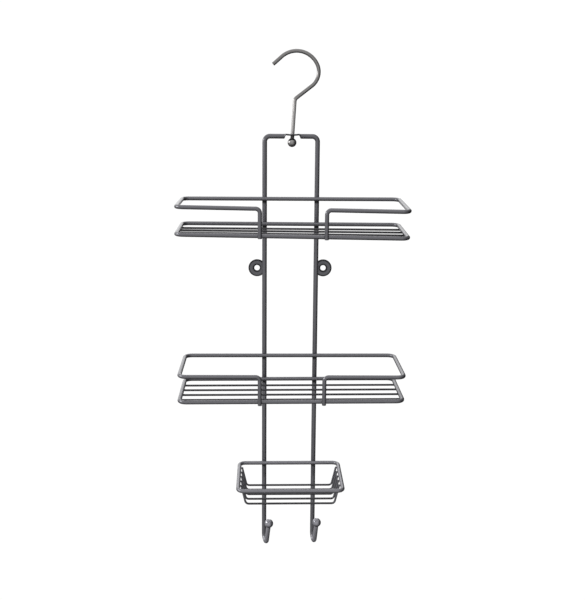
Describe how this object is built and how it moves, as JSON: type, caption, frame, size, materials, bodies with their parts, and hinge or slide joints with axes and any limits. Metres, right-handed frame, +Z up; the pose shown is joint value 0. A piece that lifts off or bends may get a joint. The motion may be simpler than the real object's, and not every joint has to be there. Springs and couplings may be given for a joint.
{
  "type": "shower caddy",
  "caption": "Hanging wire shower caddy: a bent wire frame with shelves, guard rails, a soap dish, lower hooks, screw rings and a swivel hook.",
  "frame": {"origin": "midway between the two wall screw holes, on the plane where the mounting rings meet the wall", "axes": "+Z up along the uprights, +Y into the wall, -Y towards the user, +X to the user's right"},
  "size_m": [0.2526, 0.1024, 0.5924],
  "materials": {
    "frame_coating": "satin metallic grey coat over steel wire",
    "basket_coating": "satin metallic grey coat over steel wire",
    "floor_wire_coating": "satin metallic grey coat over thin steel wire",
    "ring_coating": "satin metallic grey coat over pressed steel",
    "hook_tip_coating": "semi-gloss metallic grey coat over a steel ball",
    "hook_plating": "satin plated steel wire, slightly warm",
    "ball_plating": "bright plated steel ball"
  },
  "bodies": {
    "caddy_frame": {"left_hook_ball": "hook_tip_coating", "left_mounting_ring": "ring_coating", "lower_shelf_rail": "basket_coating", "lower_shelf_rim": "basket_coating", "lower_shelf_wire_1": "floor_wire_coating", "lower_shelf_wire_2": "floor_wire_coating", "lower_shelf_wire_3": "floor_wire_coating", "lower_shelf_wire_4": "floor_wire_coating", "main_frame": "frame_coating", "right_hook_ball": "hook_tip_coating", "right_mounting_ring": "ring_coating", "soap_dish_rim": "basket_coating", "soap_dish_wire_1": "floor_wire_coating", "soap_dish_wire_2": "floor_wire_coating", "soap_dish_wire_3": "floor_wire_coating", "soap_dish_wire_4": "floor_wire_coating", "soap_dish_wire_5": "floor_wire_coating", "upper_shelf_rail": "basket_coating", "upper_shelf_rim": "basket_coating", "upper_shelf_wire_1": "floor_wire_coating", "upper_shelf_wire_2": "floor_wire_coating", "upper_shelf_wire_3": "floor_wire_coating", "upper_shelf_wire_4": "floor_wire_coating"},
    "swivel_hook": {"top_hook": "hook_plating", "top_hook_ball": "ball_plating"}
  },
  "joints": [
    {"name": "hook_swivel", "type": "hinge", "parent": "caddy_frame", "child": "swivel_hook", "pos_m": [0.00097, -0.00495, 0.1453], "axis": [0.0593, 0, 0.9982], "continuous": true}
  ]
}
